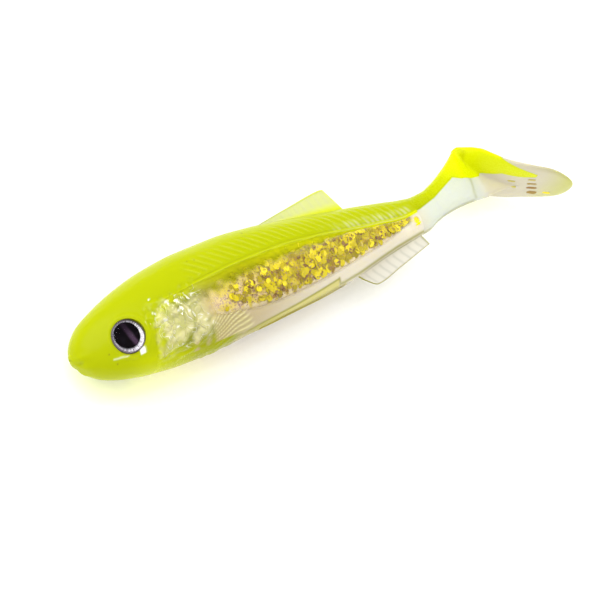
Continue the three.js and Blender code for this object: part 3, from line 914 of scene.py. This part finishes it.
def painted_glint_and_frost_on_body(x, y):
    """Painted white highlights on the wet folds, by the eye and mouth, and frosted ribs toward the tail."""
    line, _ = to_segment(x, y, *PAINTED_MOUTH_GLINT)
    square = np.maximum(np.abs(x - PAINTED_EYE_GLINT[0]), np.abs(y - PAINTED_EYE_GLINT[1]))
    glint = np.maximum(0.45 * bump(line, 0.12), 0.95 * fade(square, 0.65, 0.4))
    for cx, cy, radius in PAINTED_GLINTS:
        around = np.hypot(x - cx, 1.6 * (y - cy) + 0.5 * (x - cx)) / radius
        glint = np.maximum(glint, 0.85 * fade(around, 1.0, 0.5))
    over = y - lateral_line(x)
    patchy = fade(ripple((x, y), 2.2, SEED + 10), -1.5, 0.5)
    comb = 0.5 + 0.5 * np.cos(2 * math.pi * (x + 0.45 * over) / (0.7 * CHEVRON_PITCH))
    frosted = fade(x, 54, 66) * fade(x, 79.8, 77) * fade(over, 0.2, 0.5) * fade(over, 2.3, 1.0)
    return np.maximum(glint, 0.3 * frosted * patchy * comb)


def lift_on_body(x, y):
    """Painted light: where the chartreuse is brighter, along the throat and just under the seam."""
    throat = fade(y - table_at(BODY, x, 2), 3.2, 1.0) * fade(x, 34, 27) * fade(x, 6, 13)
    across = over_seam(x, y)
    line = 0.5 * fade(across, 0.25, -0.1) * fade(across, -2.6, -0.3)
    line = line + 0.2 * fade(x, 34, 46) * fade(across, 0.2, -0.4)
    return np.maximum(0.35 * throat, line)


def olive_on_body(x, y):
    """Dark specks and the broken dark line under the lateral line."""
    specks = np.max([fade(np.hypot(x - cx, y - cy), 0.22, 0.06) for cx, cy in SPECKS], axis=0)
    below = lateral_line(x) - y
    broken = fade(ripple((x, y), 7.0, SEED + 8), -0.4, 0.5)
    return specks + 0.3 * fade(x, 25, 30) * bump(below - 0.4, 0.13) * broken


def build_body(pours):
    """Back pour and belly pour, each one soft piece from head to stem; pours are the materials."""
    whole = loft("body", skin_rings(), pours, JOINED_FACE)
    above = prism("above", seam_outline(), -FAR, FAR, pours, JOINED_FACE)
    slot = prism("slot", SLOT, -SLOT_HALF_WIDTH, SLOT_HALF_WIDTH, pours, CLEAR_FACE)
    back = carve(copied(whole, "back_pour"), above, "INTERSECT")
    belly = carve(carve(whole, above), slot)
    belly.name = "belly_pour"
    socket_outline = [(0, 0), (SOCKET_RADIUS, 0), (SOCKET_RADIUS, SOCKET_REACH), (0, SOCKET_REACH)]
    for side in (1, -1):
        socket = eye_lathe("socket", socket_outline, side, pours)
        carve(back, socket)
        discard(socket)
    discard(above, slot)
    look = np.empty(len(belly.data.polygons), np.int32)
    belly.data.polygons.foreach_get("material_index", look)
    look[look == BACK_FACE] = CLEAR_FACE
    belly.data.polygons.foreach_set("material_index", look)
    for piece, slot_name, zone in ((back, "chartreuse_pour", "back"), (belly, "clear_pour", "belly")):
        x, y, z = coordinates(piece).T
        pour = pour_on_body(x, y, z)
        fan, rays = pectoral_fan(x, y)
        store(
            piece, pour=pour, window=window_on_body(x, y, pour), milk=milk_on_body(x, y),
            edge=edge_on_body(x, y), olive=olive_on_body(x, y), strip=0.85 * keel_strip(x, y)[0],
            ray=0.8 * fan * rays, relief=flank_relief(x, y), gloss=on_cheek(x, y),
            glint=painted_glint_and_frost_on_body(x, y), lift=lift_on_body(x, y),
        )
        finish_mesh(piece)
        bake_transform(piece)
        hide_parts(f"{zone}_front", f"{zone}_flex", f"{zone}_rear")


# ---- flake core


def core_side(x, y, depth):
    """z of a point at that depth under the flank's skin."""
    top, low, half = (table_at(BODY, x, k) for k in (1, 2, 3))
    off = np.clip(np.abs(y - (top + low) / 2) / ((top - low) / 2), 0, 1)
    return half * (1 - off ** SQUARENESS) ** (1 / SQUARENESS) - depth


def core_rings():
    """Cloudy core right under the flanks, from the lateral line to below the flakes' edge."""
    xs = np.linspace(CORE_START, CORE_END, CORE_RINGS)
    across, up = section(CORE_POINTS, squareness=6)
    top = (lateral_line(xs) + 0.9)[:, None]
    edge_x, edge_y = np.transpose([(CORE_START, -3.4), *FLAKE_EDGE])
    low = (np.interp(xs, edge_x, edge_y) - 1.7 * fade(xs, 79, 70))[:, None]
    ends = (fade(xs, 19.8, 21.0) * fade(xs, 79.4, 77))[:, None] ** 0.5
    middle, half = (top + low) / 2, (top - low) / 2
    y = middle + up * half * (0.15 + 0.85 * ends)
    x = np.repeat(xs[:, None], CORE_POINTS, 1)
    side = np.maximum(core_side(x, y, CORE_DEPTH), 0.2) * (0.2 + 0.8 * ends)
    rings = np.stack([x, y, across * side], -1)
    return rings + ring_normals(rings) * (0.04 * ripple((x, y, rings[..., 2]), 2.6, SEED + 3))[..., None]


def veil(x, y):
    """How much chartreuse still covers the flakes under the lateral line."""
    cloud = ripple((x, 1.3 * y), 2.6, SEED + 9)
    below = (lateral_line(x) - y) / table_at(FADE_DEPTH, x)
    return fade(below + 0.16 * cloud, 1.25, 0.25)


def skin_lean(x, y, side):
    """Rotation from flat on the mirror plane to flat under the flank's skin."""
    step = 0.3
    slope_y = (core_side(x, y + step, 0) - core_side(x, y - step, 0)) / (2 * step)
    slope_x = (core_side(x + step, y, 0) - core_side(x - step, y, 0)) / (2 * step)
    normal = Vector((-slope_x, -slope_y, 1)).normalized()
    normal.z *= side
    return Vector((0, 0, 1)).rotation_difference(normal).to_matrix()


def platelets(name, material, count, size, x_range, spread, depth, sides, clump):
    """Many thin plates scattered under both flanks, each one a closed prism."""
    random = np.random.default_rng(SEED + len(name))
    vertices, faces, tone = [], [], []
    corner = np.arange(sides) * 2 * math.pi / sides
    made = 0
    while made < count:
        x = random.uniform(*x_range)
        share = random.uniform() ** spread
        line, low = lateral_line(x) - 0.3, table_at(FLAKE_EDGE, x)
        y = line + (low - line) * share
        side = 1 if made % 2 else -1
        if random.uniform() > flake_density(x, share, side, clump):
            continue
        under = random.uniform(*depth)
        z = side * max(core_side(x, y, under), 0.15)
        radius = size * random.uniform(0.7, 1.25)
        lean = skin_lean(x, y, side)
        for axis in "XY":
            lean = lean @ Matrix.Rotation(random.normal(0, PLATELET_TILT), 3, axis)
        spin = Matrix.Rotation(random.uniform(0, 6.3), 3, "Z")
        stretch = random.uniform(0.75, 1.0)
        base = len(vertices)
        for level in (-1, 1):
            for a in corner:
                flat = Vector((radius * math.cos(a), radius * stretch * math.sin(a), level * PLATELET_HALF))
                vertices.append(tuple(Vector((x, y, z)) + lean @ (spin @ flat)))
        low_ring, high_ring = np.arange(2 * sides).reshape(2, sides) + base
        walls = np.stack([low_ring, np.roll(low_ring, -1), np.roll(high_ring, -1), high_ring], -1)
        faces += [low_ring[::-1], high_ring, *walls]
        tone += [random.uniform() ** 1.3] * (2 * sides)
        made += 1
    obj = mesh_object(name, vertices, faces, [material])
    x, y, _ = coordinates(obj).T
    store(obj, tone=tone, veil=0.75 * veil(x, y))
    return obj


def flake_density(x, share, side, clump):
    """Chance that a flake keeps its place: gold gathers in the middle of the flank."""
    ends = float(fade(x, 25, 28 + 15 * clump) * fade(x, 80, 77))
    cloud = float(ripple((x, 6 * share, 3.0 * side), 5.5, SEED + 7, 5))
    return ends * (1 - clump + clump * (0.06 + 0.94 * float(fade(cloud, -0.6, 0.9))))


def build_core():
    """The haze under both flanks and the platelets in it."""
    haze = loft("flake_core", core_rings(), [haze_material()])
    x, y, _ = coordinates(haze).T
    over = y - table_at(FLAKE_EDGE, x)
    share = over / np.maximum(lateral_line(x) - table_at(FLAKE_EDGE, x), 0.5)
    ragged = 0.5 * ripple((x, y), 1.6, SEED + 5)
    outside = np.maximum(fade(over + ragged, 0.4, -0.3), 0.75 * fade(x + 2.5 * ragged, 29, 24.5))
    dense = fade(x + ragged, 21.5, 25) * fade(x, 79, 77.5) * fade(over + 0.4 * ragged, -1.5, -0.8)
    store(haze, rear=fade(x + 3 * ragged, 31, 46), lower=fade(share, 0.95, 0.2), veil=0.9 * veil(x, y),
          outside=outside, dense=dense)
    pieces = [haze]
    for name, *scatter, tones in PLATELETS:
        material = flake_material(name.replace("_", " ")[:-1], *tones)
        pieces.append(platelets(name, material, *scatter))
    for piece in pieces:
        finish_mesh(piece, sharp=30)
        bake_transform(piece)
        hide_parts("core_front", "core_flex", "core_rear")


def plate(centre, along, facing, length, width, thick):
    """Corners and faces of one small flat hexagon."""
    along = Vector(along).normalized()
    facing = Vector(facing).normalized()
    across = facing.cross(along)
    outline = [(-0.5, 0), (-0.36, 0.5), (0.36, 0.5), (0.5, 0), (0.36, -0.5), (-0.36, -0.5)]
    corners = [tuple(Vector(centre) + along * (a * length) + across * (b * width) + facing * (h * thick))
               for h in (-0.5, 0.5) for a, b in outline]
    faces = [[5, 4, 3, 2, 1, 0], [6, 7, 8, 9, 10, 11]]
    faces += [[k, (k + 1) % 6, 6 + (k + 1) % 6, 6 + k] for k in range(6)]
    return corners, faces


def plates(name, parts, material):
    """One piece from several separate plates, each with its own tone."""
    vertices, faces, tone = [], [], []
    for shade, *shape in parts:
        corners, sides = plate(*shape)
        faces += [[k + len(vertices) for k in side] for side in sides]
        vertices += corners
        tone += [shade] * len(corners)
    obj = face_out(mesh_object(name, vertices, faces, [material]))
    store(obj, tone=tone, veil=np.zeros(len(vertices)))
    return finish_mesh(obj, sharp=30)


def build_stray_flakes(blade):
    """The lone gold flake behind the core and the long flakes in the paddle."""
    x, y = LONE_FLAKE
    z = float(core_side(x, y, 0.2))
    facing = skin_lean(x, y, 1) @ Vector((0, 0, 1))
    gold = flake_material("stray gold flake", (1.0, 0.78, 0.0), GOLD_DARK, 0.1, 0.35)
    lone = plates("lone_flake", [(1.0, (x, y, z), (0.3, -1, 0), facing, 2.1, 1.8, 0.05)], gold)
    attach(lone, "rear_body")
    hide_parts("core_rear")

    skin = BVHTree.FromPolygons(
        [TO_CAD.inverted() @ v.co for v in blade.data.vertices],
        [list(p.vertices) for p in blade.data.polygons],
    )
    parts = []
    for x, z, length, width, shade in PADDLE_FLAKES:
        slope = float(table_at(PADDLE, x + 0.3, 1) - table_at(PADDLE, x - 0.3, 1)) / 0.6
        along = Vector((1, slope, 0)).normalized()
        facing = Vector((slope, -1, 0)).normalized()
        middle = Vector((x, float(table_at(PADDLE, x, 1)), z))
        face = skin.ray_cast(middle + facing * 6, -facing)[0]
        parts.append((shade, face - facing * 0.04, along, facing, length, width, 0.2))
    brown = flake_material("paddle flake", (0.55, 0.50, 0.10), (0.30, 0.16, 0.02), 0.0, 0.4)
    dashes = plates("paddle_flakes", parts[:-1], brown)
    bright = plates("paddle_gold_flake", parts[-1:], gold)
    for piece in (dashes, bright):
        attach(piece, "paddle")
        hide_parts("paddle_blade")


# ---- stem and paddle


def paddle_rings():
    """Closed rings down the paddle's middle line."""
    stations = np.asarray(PADDLE, float)
    steps = np.concatenate([[0], np.cumsum(np.hypot(*np.diff(stations[:, :2], axis=0).T))])
    table = np.column_stack([steps, stations])
    at = np.linspace(0, steps[-1], PADDLE_RINGS)
    x, y, half_width, half_thick = (table_at(table, at, k) for k in (1, 2, 3, 4))
    along = np.gradient(np.stack([x, y], 1), axis=0)
    along /= np.linalg.norm(along, axis=1, keepdims=True)
    across, up = section(PADDLE_POINTS)
    off = up[None] * half_thick[:, None]
    return np.stack([
        x[:, None] - along[:, 1:] * off,
        y[:, None] + along[:, :1] * off,
        across[None] * half_width[:, None],
    ], -1)


def relax(obj, weight, rounds):
    """Smooths the mesh by neighbour averages, as strongly as each vertex's weight."""
    mesh = obj.data
    edges = np.empty(len(mesh.edges) * 2, np.int32)
    mesh.edges.foreach_get("vertices", edges)
    a, b = edges.reshape(-1, 2).T
    co = coordinates(obj)
    count = np.bincount(np.concatenate([a, b]), minlength=len(co))[:, None]
    for _ in range(rounds):
        total = np.zeros_like(co)
        for axis in range(3):
            total[:, axis] = np.bincount(a, co[b, axis], len(co)) + np.bincount(b, co[a, axis], len(co))
        co += (total / count - co) * weight[:, None]
    mesh.vertices.foreach_set("co", co.astype(np.float32).ravel())
    mesh.update()


def pour_on_tail(x, y, z):
    """1 on the chartreuse back of the stem and the heel of the paddle."""
    above = fade(over_seam(x, y), -0.5 + 0.35 * fade(x, 92, 96), 0.3)
    heel = fade(inside_outline(x, z, HEEL), -0.15, 0.15)
    return above * (1 - fade(x, 97.5, 98.5) * (1 - heel))


def edge_on_tail(x, y, z):
    """Olive tint along the stem's lower edge and round the paddle, and painted shade in the crease at its
    end.
    """
    keel = 0.5 * fade(y - table_at(BODY, x, 2), 0.5, 0.15) * fade(x, 97, 95)
    # Painted shade along the crease at the stem's end.
    crease = to_line(x, y, STEM_CREASE)
    rim = 0.3 * fade(np.abs(z) / table_at(PADDLE, x, 2), 0.8, 1.0) * fade(x, 104, 113)
    return np.maximum(rim, np.maximum(keel, 0.35 * bump(crease, 0.4)))


def build_tail(pours):
    """Stem root, stem and paddle from one fused shape, parted by pour and by body."""
    tail = loft("tail", body_rings(np.arange(78, 109.01, 0.3), TAIL_POINTS), pours, JOINED_FACE)
    paddle = loft("paddle", paddle_rings(), pours)
    carve(tail, paddle, "UNION")
    discard(paddle)
    remesh = tail.modifiers.new("remesh", "REMESH")
    remesh.mode = "VOXEL"
    remesh.voxel_size = TAIL_VOXEL
    apply_modifiers(tail)
    tail.data.materials.clear()
    for material in pours:
        tail.data.materials.append(material)
    x = coordinates(tail)[:, 0]
    relax(tail, 0.5 * fade(x, 84, 92) + 0.12, rounds=8)

    lengths = []
    cuts = (("paddle_blade_pour", STEM_END, TAIL_END), ("stem_root_pour", *STEM_FLEX),
            ("stem_belly_pour", STEM_FLEX[1], STEM_END))
    for name, x_start, x_end in cuts:
        cutter = block("cutter", x_start, x_end, pours, JOINED_FACE)
        lengths.append(carve(copied(tail, name), cutter, "INTERSECT"))
        discard(cutter)
    clear, root, stem_belly = lengths
    above = prism("above", seam_outline(), -FAR, FAR, pours, JOINED_FACE)
    stem_back = carve(copied(stem_belly, "stem_back_pour"), above, "INTERSECT")
    heel_block = prism("heel_block", HEEL, -FAR, FAR, pours, JOINED_FACE, axis="y")
    heel = carve(copied(clear, "paddle_heel_pour"), heel_block, "INTERSECT")
    carve(stem_belly, above)
    carve(clear, heel_block)
    discard(tail, above, heel_block)

    for piece in (root, stem_back, stem_belly, heel, clear):
        x, y, z = coordinates(piece).T
        # Painted shade on the stem's root: the stored amount is negative there and fades out towards the
        # heel, which keeps the brightest painted chartreuse.
        store(piece, pour=pour_on_tail(x, y, z), milk=0.55 + 0.3 * fade(x, 97, 100),
              edge=edge_on_tail(x, y, z), lift=-0.65 * fade(x, 97, 88) - 0.35 * fade(x, 90, 81),
              **{mask: 0.0 * x for mask in ("relief", "olive", "window", "strip", "gloss", "glint", "ray")})
        finish_mesh(piece)
    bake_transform(root)
    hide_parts("stem_root")
    for piece in (stem_back, stem_belly, heel, clear):
        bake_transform(piece)
    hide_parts("stem_back", "paddle_web")
    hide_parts("stem_belly", "paddle_web")
    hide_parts("paddle_heel")
    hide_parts("paddle_blade")
    return clear


# ---- fins


def fin(name, root_line, tip_line, rays, foot, material, rib):
    """A thin closed web between a root line and an outer line. foot is the thick foot's share of
    its height, and rib is what each ray adds to its half thickness."""
    along, up = 150, 44
    u, v = np.meshgrid(np.linspace(0, 1, along), np.linspace(0, 1, up), indexing="ij")
    root = np.stack([table_at(root_line, u, 1), table_at(root_line, u, 2)], -1)
    tip = np.stack([table_at(tip_line, u, 1), table_at(tip_line, u, 2)], -1)
    xy = root + (tip - root) * v[..., None]
    ray = (0.5 + 0.5 * np.cos(2 * math.pi * rays * (u + 0.012 * np.sin(5 * v)))) ** 4
    ray = ray * fade(v, 1.0, 0.9) * fade(v, 0.0, 0.3)
    edge = np.maximum(np.maximum(bump(1 - v, 0.05), bump(1 - u, 0.02)), bump(u, 0.02))
    foot_line = fade(v, 1.1 * foot, 0.3 * foot)
    half = FIN_HALF + rib * ray + FIN_BORDER * np.maximum(edge, foot_line)
    rim = np.minimum(np.minimum(v / 0.02, (1 - v) / 0.02), np.minimum(u / 0.01, (1 - u) / 0.01))
    half = half * np.sqrt(np.clip(rim, 0.06, 1))
    sheets = [np.concatenate([xy, (sign * half)[..., None]], -1).reshape(-1, 3) for sign in (1, -1)]
    index = np.arange(along * up).reshape(along, up)
    quads = np.stack([index[:-1, :-1], index[1:, :-1], index[1:, 1:], index[:-1, 1:]], -1).reshape(-1, 4)
    other = quads[:, ::-1] + along * up
    loop = np.concatenate([index[:, 0], index[-1, 1:], index[-2::-1, -1], index[0, -2:0:-1]])
    following = np.roll(loop, -1)
    wall = np.stack([loop, loop + along * up, following + along * up, following], -1)
    faces = np.concatenate([quads, other, wall]).tolist()
    obj = face_out(mesh_object(name, np.concatenate(sheets), faces, [material]))
    thick = np.clip(np.maximum(edge, 0.95 * foot_line), 0, 1)
    store(obj, thick=np.tile(thick.ravel(), 2), ray=np.tile(ray.ravel(), 2))
    return finish_mesh(obj, sharp=60)


def build_fins():
    """The dorsal and the anal fin webs, each in place of its CAD fin."""
    dorsal_look = fin_material("dorsal fin web", FIN_MEMBRANE, (0.68, 0.70, 0.34), CHARTREUSE_BRIGHT)
    dorsal = fin("dorsal_fin_web", DORSAL_ROOT, DORSAL_TIP, DORSAL_RAYS, 0.5, dorsal_look, 0.015)
    anal_look = fin_material("anal fin web", (0.78, 0.75, 0.66), (0.66, 0.64, 0.56), OLIVE)
    anal = fin("anal_fin_web", ANAL_ROOT, ANAL_TIP, ANAL_RAYS, 0.12, anal_look, 0.035)
    folds = ((dorsal, "fin_back", "dorsal_fin", DORSAL_FOLD_Y, 1),
             (anal, "fin_belly", "anal_fin", ANAL_FOLD_Y, -1))
    for piece, body, node, level, out in folds:
        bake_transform(piece)
        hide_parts(node)


# ---- eyes


def eye_frame(side):
    """Matrix from an eye's own axes, its face along z, to the drawing axes."""
    turn = -EYE_TILT if side > 0 else math.pi + EYE_TILT
    return Matrix.Translation((EYE_X, EYE_Y, side * EYE_FLOOR)) @ Matrix.Rotation(turn, 4, "Y")


def eye_lathe(name, profile, side, materials, offset=(0.0, 0.0), segments=96):
    """A turned solid of (radius, height) points on one eye's axis."""
    vertices, faces, rows = [], [], []
    for radius, height in profile:
        if radius == 0:
            vertices.append((*offset, height))
            rows.append([len(vertices) - 1] * segments)
            continue
        rows.append(list(range(len(vertices), len(vertices) + segments)))
        for k in range(segments):
            a = 2 * math.pi * k / segments
            vertices.append((offset[0] + radius * math.cos(a), offset[1] + radius * math.sin(a), height))
    for low, high in zip(rows, rows[1:]):
        for k in range(segments):
            j = (k + 1) % segments
            face = list(dict.fromkeys([low[k], low[j], high[j], high[k]]))
            if len(face) > 2:
                faces.append(face)
    obj = mesh_object(name, vertices, faces, materials)
    store(obj, rest=coordinates(obj))
    obj.data.transform(eye_frame(side))
    return face_out(obj)


def arc_profile(radius, rim, top, steps=14):
    """Dome outline from the rim up to the axis."""
    return [(radius * math.cos(math.pi / 2 * k / steps) if k < steps else 0,
             rim + (top - rim) * math.sin(math.pi / 2 * k / steps)) for k in range(steps + 1)]


def build_eyes():
    foil, pupil, dome = foil_material(), pupil_material(), dome_material()
    for side, word in ((1, "left"), (-1, "right")):
        dish = [(0, FOIL_BASE), (EYE_RADIUS - 0.1, FOIL_BASE), (EYE_RADIUS, FOIL_BASE + 0.1),
                (EYE_RADIUS, FOIL_TOP + 0.12), (EYE_RADIUS - 0.12, FOIL_TOP + 0.16),
                (EYE_RADIUS - 0.3, FOIL_TOP + 0.05), (2.0, FOIL_TOP - 0.05), (0, FOIL_TOP - 0.08)]
        disc = [(0, PUPIL_SEAT), (PUPIL_RADIUS - 0.05, PUPIL_SEAT), (PUPIL_RADIUS, PUPIL_SEAT + 0.05),
                (PUPIL_RADIUS, PUPIL_TOP - 0.06), (PUPIL_RADIUS - 0.06, PUPIL_TOP), (0, PUPIL_TOP + 0.05)]
        lens = [(0, LENS_SEAT), (EYE_RADIUS - 0.1, LENS_SEAT),
                *arc_profile(EYE_RADIUS - 0.05, DOME_RIM, DOME_TOP)]
        off = (PUPIL_OFFSET[0] * side, PUPIL_OFFSET[1])
        made = [
            (eye_lathe(f"{word}_eye_foil_ring", dish, side, [foil]), "eye_foil", "foil"),
            (eye_lathe(f"{word}_eye_pupil_disc", disc, side, [pupil], off), "eye_pupil", "pupil"),
            (eye_lathe(f"{word}_eye_lens", lens, side, [dome]), "eye_dome", "dome"),
        ]
        for piece, slot_name, node in made:
            finish_mesh(piece, sharp=35)
            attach(piece, "front_body")
            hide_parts(f"{word}_eye_{node}")


# ---- stage


def build_stage():
    """Plain white floor, a white room and two softboxes."""
    corners = [(FLOOR_HALF * a, FLOOR_HALF * b, 0) for a, b in ((-1, -1), (1, -1), (1, 1), (-1, 1))]
    mesh_object("floor", corners, [[0, 1, 2, 3]], [floor_material()])

    world = bpy.data.worlds.new("studio")
    world.use_nodes = True
    nodes, links = world.node_tree.nodes, world.node_tree.links
    background = nodes["Background"]
    strength = nodes.new("ShaderNodeMix")
    strength.inputs[2].default_value = ROOM_LIGHT
    strength.inputs[3].default_value = ROOM_IN_GLOSS
    links.new(nodes.new("ShaderNodeLightPath").outputs["Is Glossy Ray"], strength.inputs[0])
    links.new(strength.outputs[0], background.inputs["Strength"])
    background.inputs["Color"].default_value = (1, 1, 1, 1)
    bpy.context.scene.world = world

    for name, place, size, power in SOFTBOXES:
        light = bpy.data.lights.new(name, "AREA")
        light.shape = "RECTANGLE"
        light.size = light.size_y = size
        light.energy = power
        lamp = bpy.data.objects.new(name, light)
        lamp.location = place
        lamp.rotation_euler = (LIGHT_AIM - Vector(place)).to_track_quat("-Z", "Y").to_euler()
        bpy.context.scene.collection.objects.link(lamp)


def build_camera():
    """Placed round the lure as a photographer would: azimuth, elevation, roll, distance."""
    back = Vector((math.sin(AZIMUTH) * math.cos(ELEVATION), -math.cos(AZIMUTH) * math.cos(ELEVATION),
                   math.sin(ELEVATION)))
    level_right = Vector((math.cos(AZIMUTH), math.sin(AZIMUTH), 0))
    right = level_right * math.cos(ROLL) + back.cross(level_right) * math.sin(ROLL)
    lens = bpy.data.cameras.new("camera")
    lens.lens = FOCAL_LENGTH
    lens.sensor_width = SENSOR_WIDTH
    lens.clip_start, lens.clip_end = 0.01, 10
    camera = bpy.data.objects.new("camera", lens)
    pose = Matrix((right, back.cross(right), back)).transposed().to_4x4()
    pose.translation = cad_point(*CAMERA_AIM) + back * CAMERA_DISTANCE
    camera.matrix_world = pose
    bpy.context.scene.collection.objects.link(camera)
    bpy.context.scene.camera = camera


pour_materials = [pour_material("chartreuse pour"), pour_material("clear pour"), inner_material()]
build_body(pour_materials)
build_core()
build_stray_flakes(build_tail(pour_materials))
build_fins()
build_eyes()
build_stage()
build_camera()

scene = bpy.context.scene
scene.view_settings.view_transform = "Standard"
scene.cycles.transparent_max_bounces = 32
